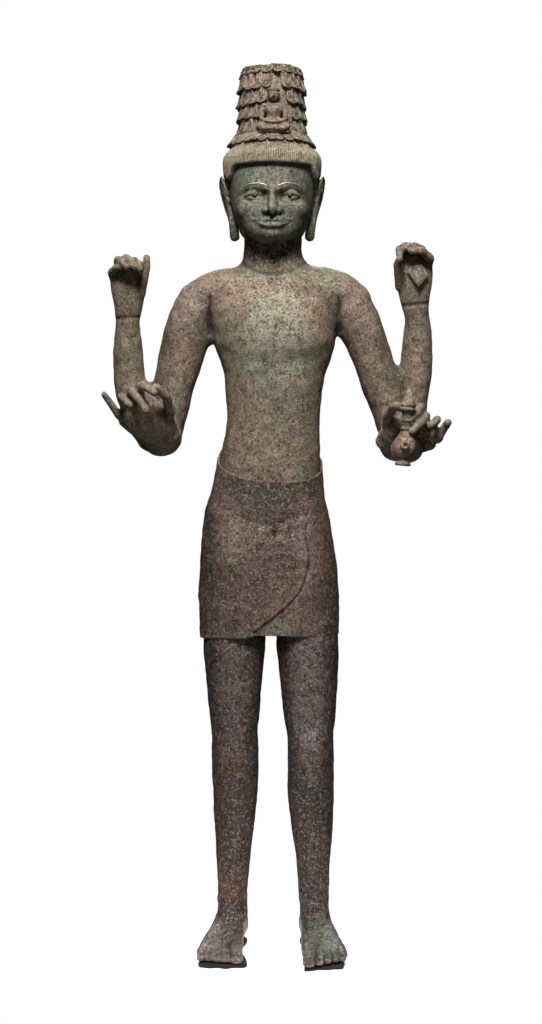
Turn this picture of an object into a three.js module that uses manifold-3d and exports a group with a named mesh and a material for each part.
// Standing four-armed bodhisattva, a hollow bronze casting with inlaid brows and pupils.
// Millimetres, +Z up, the face looks towards -Y. The soles rest on z = 0.
import * as THREE from "three";
import { LoftGeometry } from "three/addons/geometries/LoftGeometry.js";
import { mergeVertices } from "three/addons/utils/BufferGeometryUtils.js";
import Module from "manifold-3d";

const wasm = await Module();
wasm.setup();

// Driving dimensions
const HEADDRESS_TOP = 1413;
const HAIRLINE = 1248;
const CHIN = 1128;
const HEM = 505;
const HEM_CLOTH = 5;
const WAIST_RIM = 785;
const SOLE_PAD = 6;
const INLAY_GAP = 0.3;

// Plain face in equal thirds between hairline and chin, with the eyes one eye's width apart
const FACE_X = 2;
const THIRD = (HAIRLINE - CHIN) / 3;
const NOSE_BASE = CHIN + THIRD;
const BROW = CHIN + 2 * THIRD;
const EYE_LINE = BROW - 0.27 * THIRD;
const MOUTH = NOSE_BASE - THIRD / 3;
const EYE_APART = 27.5;

// Shift that brings the middle of the figure's box over the origin
const MIDDLE_OF_BOX = new THREE.Vector3(-3.7, 83.9, 0);

// Side axes of the limbs, pointing to the thumb side for the hands
const ACROSS = new THREE.Vector3(1, 0, 0);
const ACROSS_RIGHT_PALM = new THREE.Vector3(0.82, 0, 0.57);
const ACROSS_LEFT_PALM = new THREE.Vector3(-0.8, 0, 0.6);

// Turns a three.js geometry into one closed manifold solid
function solidOf(geometry) {
  const plain = geometry.index ? geometry.toNonIndexed() : geometry.clone();
  plain.deleteAttribute("normal");
  plain.deleteAttribute("uv");
  const merged = mergeVertices(plain, 1e-3);
  const corners = merged.index.array;
  const kept = [];
  for (let i = 0; i < corners.length; i += 3) {
    const [a, b, c] = corners.slice(i, i + 3);
    if (a !== b && b !== c && c !== a) kept.push(a, b, c);
  }
  const mesh = new wasm.Mesh({
    numProp: 3,
    vertProperties: Float32Array.from(merged.attributes.position.array),
    triVerts: Uint32Array.from(kept),
  });
  return new wasm.Manifold(mesh);
}

function join(solids) {
  return solids.reduce((whole, solid) => whole.add(solid));
}

const signedPower = (value, power) => Math.sign(value) * Math.abs(value) ** power;

// One closed ring of points round a centre, from a circle (2) towards a box (4)
function ring(centre, along, side, wide, deep, sides, squareness = 2) {
  const across = side.clone().addScaledVector(along, -side.dot(along)).normalize();
  const out = new THREE.Vector3().crossVectors(along, across);
  const points = [];
  for (let i = 0; i < sides; i++) {
    const turn = (2 * Math.PI * i) / sides;
    const point = centre.clone();
    point.addScaledVector(across, wide * signedPower(Math.cos(turn), 2 / squareness));
    point.addScaledVector(out, deep * signedPower(Math.sin(turn), 2 / squareness));
    points.push(point);
  }
  return points;
}

// A limb: rings along stations [x, y, z, half width, half depth]; each end is flat, or
// rounded by a height given as a share of its smaller half size
function limb(stations, { side = ACROSS, sides = 12, squareness = 2, start = 0, end = 0 } = {}) {
  const centres = stations.map(([x, y, z]) => new THREE.Vector3(x, y, z));
  const path = new THREE.CatmullRomCurve3(centres);
  const last = stations.length - 1;
  const rings = [];
  stations.forEach(([, , , wide, deep], i) => {
    rings.push(ring(centres[i], path.getTangent(i / last), side, wide, deep, sides, squareness));
  });
  for (const [index, height] of [[0, start], [last, end]]) {
    if (!height) continue;
    const [, , , wide, deep] = stations[index];
    const along = path.getTangent(index / last);
    const outwards = along.clone().multiplyScalar(index ? 1 : -1);
    const angles = sides > 8 ? [0.75, 1.4] : [1.05];
    for (const angle of angles) {
      const reach = Math.min(wide, deep) * height * Math.sin(angle);
      const centre = centres[index].clone().addScaledVector(outwards, reach);
      const shrink = Math.cos(angle);
      const cap = ring(centre, along, side, wide * shrink, deep * shrink, sides, squareness);
      if (index) rings.push(cap);
      else rings.unshift(cap);
    }
  }
  return solidOf(new LoftGeometry(rings, { capStart: true, capEnd: true }));
}

// A level loft: stations [z, middle x, half width, front y, back y], flat ends
function trunk(stations, { sides = 28, squareness = 2.3 } = {}) {
  const up = new THREE.Vector3(0, 0, 1);
  const rings = stations.map(([z, middle, wide, front, back]) => {
    const centre = new THREE.Vector3(middle, (front + back) / 2, z);
    return ring(centre, up, ACROSS, wide, (back - front) / 2, sides, squareness);
  });
  return solidOf(new LoftGeometry(rings, { capStart: true, capEnd: true }));
}

function ball(x, y, z, wide, deep, tall, sides = 10) {
  const geometry = new THREE.SphereGeometry(1, sides, Math.ceil(sides * 0.6));
  geometry.rotateX(Math.PI / 2);
  geometry.scale(wide, deep, tall);
  geometry.translate(x, y, z);
  return solidOf(geometry);
}

function block(width, depth, height, x, y, z, tiltX = 0, tiltY = 0) {
  const geometry = new THREE.BoxGeometry(width, depth, height);
  geometry.translate(0, 0, height / 2);
  geometry.rotateX(tiltX);
  geometry.rotateY(tiltY);
  geometry.translate(x, y, z);
  return solidOf(geometry);
}

// Trunk of the body, from inside the wrapped cloth up to the base of the neck
function makeTorso() {
  const body = trunk([
    [740, -2, 80, -60, 56],
    [800, -1, 79, -60, 50],
    [855, 4, 75, -57, 46],
    [910, 5.7, 79, -60, 52],
    [950, 6.7, 91, -66, 60],
    [985, 5.6, 100, -70, 64],
    [1035, 4, 115, -64, 63],
    [1064, 5, 121, -50, 56],
    [1079, 7, 107, -43, 50],
    [1091, 8, 86, -38, 46],
    [1101, 6, 60, -33, 42],
  ], { sides: 18 });
  const neck = limb([
    [5, 6, 1085, 64, 45],
    [3.5, 3, 1108, 49, 43],
    [3, -2, 1160, 46.5, 44],
  ], { sides: 14 });
  return join([body, neck]);
}

// Short wrapped cloth: tilted waist rim, plain sides, open underside round the legs
function makeCloth() {
  const shape = [
    [HEM, -2.5, 112, -60, 60],
    [565, -3, 112.5, -62, 66],
    [625, -4, 109, -65, 73],
    [682, -7, 102, -65, 76],
    [722, -6, 94, -65, 70],
    [765, -3, 86.6, -65, 62],
    [840, 0, 82.5, -64, 58],
  ];
  const cloth = trunk(shape, { sides: 20 });
  const aboveRim = block(400, 400, 200, 0, 0, WAIST_RIM, Math.atan(0.56), Math.atan(0.085));
  const underside = trunk([
    [HEM - 5, -2.5, 112 - HEM_CLOTH, -60 + HEM_CLOTH, 60 - HEM_CLOTH],
    [HEM + 14, -2.5, 109 - HEM_CLOTH, -57 + HEM_CLOTH, 58 - HEM_CLOTH],
  ], { sides: 18 });
  return cloth.subtract(aboveRim).subtract(underside);
}

// Each level of the legs: height, middle and half width of the right and of the left leg,
// front and back; from inside the cloth to inside the foot
const LEGS = [
  [45, -61.8, 25, 69.5, 25, -26, 29],
  [91, -61.5, 23.6, 68.6, 24.3, -21, 24],
  [150, -60.2, 27.6, 67.4, 28.3, -24, 32],
  [200, -58.8, 32, 66, 34, -28, 42],
  [250, -57.7, 35.8, 64.1, 37.2, -34, 43],
  [300, -57.4, 37.6, 63.7, 37.1, -42.5, 35],
  [343, -58.2, 37.2, 63, 37.4, -41, 38.5],
  [386, -59, 41, 62, 42.5, -44, 43],
  [438, -59.3, 46, 60.7, 47, -48.5, 47.5],
  [489, -58.5, 50, 58.5, 50, -52, 50],
  [528, -58, 49, 58, 49, -50, 50],
];

function makeLegs() {
  const right = LEGS.map(([z, x, wide, , , front, back]) => [z, x, wide, front, back]);
  const left = LEGS.map(([z, , , x, wide, front, back]) => [z, x, wide, front, back]);
  return join([right, left].map((stations) => trunk(stations, { sides: 12, squareness: 2.1 })));
}

// A foot: heel and instep as one limb, five toes, and a thin flat pad under the sole
function makeFoot(heel, bigToe, littleToe) {
  const [heelX, heelY] = heel;
  const ballX = (bigToe[0] + littleToe[0]) / 2;
  const ballY = (bigToe[1] + littleToe[1]) / 2 + 42;
  const profile = [
    [0, 27, 20, 24],
    [0.3, 33, 24, 33],
    [0.7, 24, 31, 24],
    [1.05, 14, 36, 13],
  ];
  const instep = limb(profile.map(([along, z, wide, tall]) => {
    const x = heelX + (ballX - heelX) * along;
    const y = heelY + (ballY - heelY) * along;
    return [x, y, z, wide, tall];
  }), { sides: 10, squareness: 2.4, start: 0.7 });
  const toes = [0, 0.31, 0.55, 0.78, 1].map((share, i) => {
    const radius = i === 0 ? 9.5 : 7.6 - 0.35 * i;
    const bow = 5 * Math.sin(Math.PI * Math.min(1, share + 0.25));
    const x = bigToe[0] + (littleToe[0] - bigToe[0]) * share;
    const y = bigToe[1] + (littleToe[1] - bigToe[1]) * share - bow;
    const rootX = x + (ballX - x) * 0.12;
    return limb([
      [rootX, y + 40, 17, radius, radius],
      [x, y + 8, 13.5, radius, radius * 0.85],
    ], { sides: 6, end: 0.9 });
  });
  const foot = join([instep, ...toes]).subtract(block(400, 500, 100, 0, 0, SOLE_PAD - 101));
  const outline = new THREE.Shape();
  const outward = Math.sign(ballX);
  const lean = (y) => heelX + ((ballX - heelX) * (heelY - y)) / (heelY - ballY);
  outline.moveTo(bigToe[0] - outward * 9, bigToe[1] - 4);
  outline.lineTo(littleToe[0] + outward * 8, littleToe[1] - 4);
  outline.lineTo(littleToe[0] + outward * 9, littleToe[1] + 30);
  outline.lineTo(lean(0) + outward * 25, 0);
  outline.lineTo(heelX + outward * 21, heelY);
  outline.lineTo(heelX + outward * 8, heelY + 17);
  outline.lineTo(heelX - outward * 8, heelY + 17);
  outline.lineTo(heelX - outward * 21, heelY);
  outline.lineTo(lean(-20) - outward * 25, -20);
  outline.closePath();
  const pad = solidOf(new THREE.ExtrudeGeometry(outline, { depth: SOLE_PAD, bevelEnabled: false }));
  return join([foot, pad]);
}

// A finger or thumb through its joints [x, y, z], slightly tapered to a rounded tip
function finger(joints, radius) {
  const last = joints.length - 1;
  const stations = joints.map(([x, y, z], i) => {
    const size = radius * (1 - (0.16 * i) / last);
    return [x, y, z, size, size];
  });
  return limb(stations, { sides: 6, end: 0.8 });
}

// Upper arms and forearms, which fork in two at each elbow
function makeRightArms() {
  const upper = limb([
    [-119, 2, 1027, 41, 42],
    [-138, 3, 977, 35, 38],
    [-149, 4, 935, 35, 36],
    [-164, 4, 870, 30.5, 32],
    [-175, 2, 822, 29, 31],
  ], { sides: 10, start: 1.05, end: 0.95 });
  const front = limb([
    [-176, 4, 821, 31, 30],
    [-171, -60, 823, 27, 26],
    [-164, -125, 821, 21, 18],
    [-160, -158, 819, 22, 16],
  ], { sides: 11 });
  const raised = limb([
    [-186, 8, 826, 30, 28],
    [-213, 12, 868, 25.5, 27],
    [-226, 9, 915, 24.5, 26],
    [-230, 2, 965, 22.5, 23],
    [-230, -8, 1012, 19, 16],
  ], { sides: 11 });
  return join([upper, front, raised]);
}

function makeLeftArms() {
  const upper = limb([
    [127, 2, 1027, 41, 42],
    [152, 3, 977, 34, 38],
    [167, 4, 935, 32, 36],
    [190, 4, 868, 30.5, 32],
    [206, 2, 815, 30, 31],
  ], { sides: 10, start: 1.05, end: 0.95 });
  const front = limb([
    [207, 4, 812, 33, 30],
    [196, -60, 815, 27, 26],
    [186, -125, 811, 21, 18],
    [181, -158, 808, 22, 16],
  ], { sides: 11 });
  const raised = limb([
    [216, 8, 820, 31, 29],
    [226, 12, 868, 26.5, 27],
    [234, 9, 918, 25.5, 26],
    [234, 2, 972, 22.5, 23],
    [234, -8, 1024, 19, 16],
  ], { sides: 11 });
  return join([upper, front, raised]);
}

// Lower right hand: palm to the front, fingers bent over a broken stub
function makeLowerRightHand() {
  const palm = limb([
    [-160, -156, 818, 23, 16],
    [-180, -178, 835, 31, 14],
    [-211, -194, 859, 31, 10.5],
  ], { side: ACROSS_RIGHT_PALM, sides: 9, squareness: 2.4, end: 1 });
  return join([
    palm,
    finger([[-197, -188, 866], [-196, -213, 887], [-184, -234, 883], [-173, -243, 876]], 6.2),
    finger([[-208, -190, 860], [-208, -216, 879], [-195, -236, 866], [-182, -241, 849]], 6.2),
    finger([[-218, -192, 854], [-223, -213, 872], [-217, -230, 866], [-208, -233, 857]], 6),
    finger([[-226, -190, 844], [-236, -197, 862], [-244, -204, 874]], 5.8),
    finger([[-158, -172, 836], [-151, -193, 860], [-158, -213, 879], [-174, -226, 890]], 7.4),
    finger([[-156, -208, 872], [-171, -224, 868]], 5),
  ]);
}

// Lower left hand: palm to the front, the flask held between thumb and fingers
function makeLowerLeftHand() {
  const palm = limb([
    [181, -156, 808, 24, 16],
    [203, -178, 816, 33, 14],
    [233, -194, 830, 32, 10.5],
  ], { side: ACROSS_LEFT_PALM, sides: 9, squareness: 2.4, end: 1 });
  return join([
    palm,
    finger([[214, -190, 840], [223, -213, 856], [212, -234, 842], [202, -243, 831]], 6.2),
    finger([[225, -192, 829], [230, -218, 842], [219, -240, 825], [208, -249, 811]], 6.2),
    finger([[237, -193, 824], [248, -212, 838], [243, -226, 833], [236, -230, 827]], 6),
    finger([[250, -190, 819], [261, -205, 834], [259, -214, 831]], 5.8),
    finger([[176, -168, 826], [178, -193, 846], [191, -224, 854], [207, -240, 851]], 7.6),
  ]);
}

// Round flask on a low foot with ringed neck and pointed stopper
function makeFlask() {
  const profile = [
    [0, 0], [12, 0], [12, 4], [8, 8],
    [14, 14], [17.5, 25], [15, 38], [8, 48],
    [7, 78], [11.5, 82], [11.5, 90], [6, 103], [0, 115],
  ];
  const points = profile.map(([radius, height]) => new THREE.Vector2(radius, height));
  const geometry = new THREE.LatheGeometry(points, 10);
  geometry.rotateX(Math.PI / 2);
  geometry.rotateY(0.09);
  geometry.translate(194.5, -239.5, 769.5);
  return join([solidOf(geometry), ball(197, -254, 799, 5, 4, 5, 6)]);
}

// Upper right hand: fingers closed over the palm, little finger level, thumb upright
function makeUpperRightHand() {
  const palm = limb([
    [-230, -8, 1006, 19, 15],
    [-227, -14, 1040, 24.5, 14],
    [-229, -17, 1083, 28, 11],
  ], { sides: 9, squareness: 2.4, end: 1 });
  return join([
    palm,
    finger([[-239, -16, 1084], [-240, -32, 1099], [-233, -48, 1095], [-227, -58, 1088]], 6.8),
    finger([[-229, -16, 1086], [-230, -33, 1101], [-222, -49, 1094], [-217, -58, 1085]], 6.8),
    finger([[-218, -16, 1085], [-219, -32, 1098], [-212, -48, 1090], [-208, -57, 1081]], 6.6),
    finger([[-249, -18, 1068], [-254, -30, 1082], [-243, -44, 1090], [-226, -50, 1089]], 5.4),
    finger([[-207, -20, 1048], [-202, -36, 1074], [-199, -44, 1088], [-199, -46, 1098]], 6.4),
  ]);
}

// Upper left hand: fingers closed over a thin four-cornered blade
function makeUpperLeftHand() {
  const palm = limb([
    [234, -8, 1018, 19, 15],
    [229, -14, 1052, 25.5, 15],
    [229, -17, 1100, 28, 13],
  ], { sides: 9, squareness: 2.4, end: 1 });
  const blade = new THREE.Shape();
  blade.moveTo(0, -22);
  blade.lineTo(17, -2);
  blade.lineTo(0, 24);
  blade.lineTo(-19, 4);
  blade.closePath();
  const plate = new THREE.ExtrudeGeometry(blade, { depth: 8, bevelEnabled: false });
  plate.rotateX(Math.PI / 2 + 0.12);
  plate.translate(234, -29, 1079);
  return join([
    palm,
    solidOf(plate),
    finger([[252, -18, 1086], [254, -36, 1101], [237, -52, 1113], [219, -56, 1112]], 6.8),
    finger([[246, -16, 1094], [242, -30, 1116], [228, -42, 1121], [212, -48, 1119]], 6.6),
    finger([[230, -16, 1098], [222, -28, 1119], [212, -38, 1120], [206, -44, 1110]], 6.4),
    finger([[214, -16, 1090], [207, -28, 1113], [204, -40, 1118], [204, -48, 1108]], 6),
    finger([[207, -20, 1060], [204, -36, 1082], [202, -48, 1096], [201, -54, 1099]], 7),
  ]);
}

// Head with plain regular features
const HEAD = [
  [CHIN, FACE_X, 22, -72, -20],
  [1140, FACE_X, 38, -79, 10],
  [1155, FACE_X, 51, -80, 30],
  [1175, FACE_X, 60, -80, 50],
  [1200, FACE_X, 66, -79, 68],
  [1225, FACE_X, 68, -77, 76],
  [1250, FACE_X, 68, -73, 77],
  [1272, FACE_X, 64, -64, 74],
  [1290, FACE_X, 54, -50, 62],
];
const HEAD_SQUARENESS = 2.2;

// y of the plain head surface in front, at a place x, z
function faceY(x, z) {
  const upper = HEAD.findIndex((row) => row[0] > z);
  const [below, above] = [HEAD[upper - 1], HEAD[upper]];
  const share = (z - below[0]) / (above[0] - below[0]);
  const [, middle, wide, front, back] = below.map((value, i) => value + (above[i] - value) * share);
  const aside = Math.min(1, Math.abs(x - middle) / wide);
  const reach = (1 - aside ** HEAD_SQUARENESS) ** (1 / HEAD_SQUARENESS);
  return (front + back) / 2 - ((back - front) / 2) * reach;
}

function makeHead() {
  const skull = trunk(HEAD, { sides: 20, squareness: HEAD_SQUARENESS });
  const nose = limb([
    [FACE_X, faceY(FACE_X, BROW + 2) + 3, BROW + 2, 6, 6],
    [FACE_X, faceY(FACE_X, BROW - 20) - 3, BROW - 20, 7, 8],
    [FACE_X, faceY(FACE_X, NOSE_BASE + 5) - 6, NOSE_BASE + 5, 12, 9],
  ], { sides: 8, end: 0.8 });
  const features = [skull, nose, ball(FACE_X, -75, CHIN + 12, 17, 12, 11, 6)];
  for (const side of [-1, 1]) {
    const eyeX = FACE_X + side * EYE_APART;
    features.push(ball(eyeX, faceY(eyeX, EYE_LINE) + 5, EYE_LINE, 15, 9, 8.5, 6));
    features.push(limb([
      [FACE_X + side * 60.2, 9, 1144, 8, 8.5],
      [FACE_X + side * 63, 8, 1164, 7.5, 10],
      [FACE_X + side * 69.5, 10, 1190, 7, 14],
      [FACE_X + side * 76, 15, 1220, 7, 18],
      [FACE_X + side * 78, 18, 1236, 5, 12],
    ], { sides: 6, start: 0.8, end: 0.6 }));
  }
  for (const [z, wide, tall] of [[MOUTH + 3.5, 20, 4.5], [MOUTH - 3.5, 17, 5.5]]) {
    features.push(ball(FACE_X, faceY(FACE_X, z) + 4, z, wide, 9, tall, 6));
  }
  return join(features);
}

// Brow inlay as a thin arched strip; grown by a gap it also cuts its own groove
function browStrip(side, grow) {
  const stations = [9, 17, 27, 38, 47].map((reach, i) => {
    const x = FACE_X + side * reach;
    const z = BROW + 0.5 + 7.5 * Math.sin((Math.PI * (i + 0.9)) / 5.6);
    return [x, faceY(x, z) + 0.4, z, 1.7 + grow, 1.7 + grow];
  });
  if (side < 0) stations.reverse();
  return limb(stations, { side: new THREE.Vector3(0, 0, 1), sides: 5, start: 1, end: 1 });
}

function pupilBead(side, grow) {
  const x = FACE_X + side * EYE_APART;
  const size = 3.4 + grow;
  return ball(x, faceY(x, EYE_LINE) - 3.2, EYE_LINE, size, size - 1, size, 7);
}

// Close cap of combed hair with a thick rolled edge, down to the nape behind the ears
function makeHairCap() {
  const cap = trunk([
    [1140, 2, 57, -60, 60],
    [1188, 2, 69, -77, 75],
    [1225, 2, 76, -79.5, 85.5],
    [1248, 2, 78.7, -82, 89],
    [1262, 2, 79, -82.5, 90],
    [1274, 2, 76, -79, 87],
    [1286, 2, 68, -66, 77],
    [1296, 2, 56, -50, 64],
  ], { sides: 20, squareness: 2.2 });
  const face = block(300, 200, 200, 0, -94, HAIRLINE - 200);
  const belowNape = block(300, 300, 100, 0, 60, 1048, -0.1);
  return cap.subtract(face).subtract(belowNape);
}

const HEADDRESS_AXIS = new THREE.Vector2(1, 8);
const LOCKS_IN_ROW = 14;

// A closed ring of two points a lock round the headdress: a valley and a tip
function lockRing(level, valley, tip) {
  const points = [];
  for (let i = 0; i < 2 * LOCKS_IN_ROW; i++) {
    const [radius, z] = i % 2 ? valley : tip;
    const angle = (Math.PI * (i + (level % 2))) / LOCKS_IN_ROW;
    const x = HEADDRESS_AXIS.x + radius * Math.cos(angle);
    const y = HEADDRESS_AXIS.y + radius * Math.sin(angle);
    points.push(new THREE.Vector3(x, y, z));
  }
  return points;
}

// Tall headdress of overlapping rows of U-ended locks over a flaring scalloped collar
function makeHeaddress() {
  const rows = [
    { tipZ: 1398, inner: 48, lift: 4.5, scallop: 6 },
    { tipZ: 1374, inner: 50.5, lift: 6, scallop: 10 },
    { tipZ: 1350, inner: 51.5, lift: 6, scallop: 10 },
    { tipZ: 1327, inner: 52, lift: 6, scallop: 10 },
    { tipZ: 1305, inner: 53.5, lift: 6, scallop: 9 },
    { tipZ: 1285, inner: 66, lift: 8, scallop: 6 },
  ];
  const rings = [
    lockRing(0, [41, HEADDRESS_TOP], [41, HEADDRESS_TOP]),
    lockRing(0, [47, HEADDRESS_TOP - 5], [47, HEADDRESS_TOP - 4]),
  ];
  rows.forEach(({ tipZ, inner, lift, scallop }, level) => {
    rings.push(lockRing(level, [inner + 0.5, tipZ + scallop], [inner + lift, tipZ]));
    rings.push(lockRing(level, [inner, tipZ + scallop - 1], [inner, tipZ - 1]));
  });
  rings.push(lockRing(0, [60, 1270], [60, 1270]));
  rings.reverse();
  return solidOf(new LoftGeometry(rings, { capStart: true, capEnd: true }));
}

// Small seated figure in relief on the front of the headdress
function makeRelief() {
  const front = HEADDRESS_AXIS.y - 53;
  const solids = [
    ball(4, front - 5, 1371, 5, 5, 5, 6),
    ball(4, front - 6, 1358, 10, 10.5, 12, 7),
    ball(4, front - 3, 1334, 15, 10, 16, 6),
    ball(4, front - 6, 1306, 25, 12, 7.5, 7),
  ];
  for (const side of [-1, 1]) {
    solids.push(finger([
      [4 + side * 15, front - 3, 1341],
      [4 + side * 20, front - 5, 1325],
      [4 + side * 4, front - 12, 1317],
    ], 4.3));
  }
  return join(solids);
}

const bronze = new THREE.MeshStandardMaterial({ color: 0x5d5646, roughness: 0.68, metalness: 0.55 });
const silver = new THREE.MeshStandardMaterial({ color: 0xc9c6ba, roughness: 0.38, metalness: 0.95 });
const darkStone = new THREE.MeshStandardMaterial({ color: 0x17140f, roughness: 0.3, metalness: 0 });

const object = new THREE.Group();
object.name = "standing_bodhisattva";

function addPiece(name, solid, material) {
  const { vertProperties, triVerts, numProp } = solid.getMesh();
  const places = [];
  for (let i = 0; i < vertProperties.length; i += numProp) {
    places.push(...vertProperties.slice(i, i + 3));
  }
  const geometry = new THREE.BufferGeometry();
  geometry.setAttribute("position", new THREE.Float32BufferAttribute(places, 3));
  geometry.setIndex(Array.from(triVerts));
  geometry.translate(MIDDLE_OF_BOX.x, MIDDLE_OF_BOX.y, MIDDLE_OF_BOX.z);
  geometry.computeVertexNormals();
  const piece = new THREE.Mesh(geometry, material);
  piece.name = name;
  object.add(piece);
}

let figure = join([
  makeTorso(),
  makeCloth(),
  makeLegs(),
  makeFoot([-58, 66], [-53, -133], [-108, -124]),
  makeFoot([66, 66], [58, -156], [109, -130]),
  makeRightArms(),
  makeLeftArms(),
  makeLowerRightHand(),
  makeLowerLeftHand(),
  makeFlask(),
  makeUpperRightHand(),
  makeUpperLeftHand(),
  makeHead(),
  makeHairCap(),
  makeHeaddress(),
  makeRelief(),
]);
for (const side of [-1, 1]) {
  figure = figure.subtract(browStrip(side, INLAY_GAP)).subtract(pupilBead(side, INLAY_GAP));
}

addPiece("bodhisattva_figure", figure, bronze);
addPiece("brow_inlay_right", browStrip(-1, 0), silver);
addPiece("brow_inlay_left", browStrip(1, 0), silver);
addPiece("pupil_inlay_right", pupilBead(-1, 0), darkStone);
addPiece("pupil_inlay_left", pupilBead(1, 0), darkStone);

export default object;
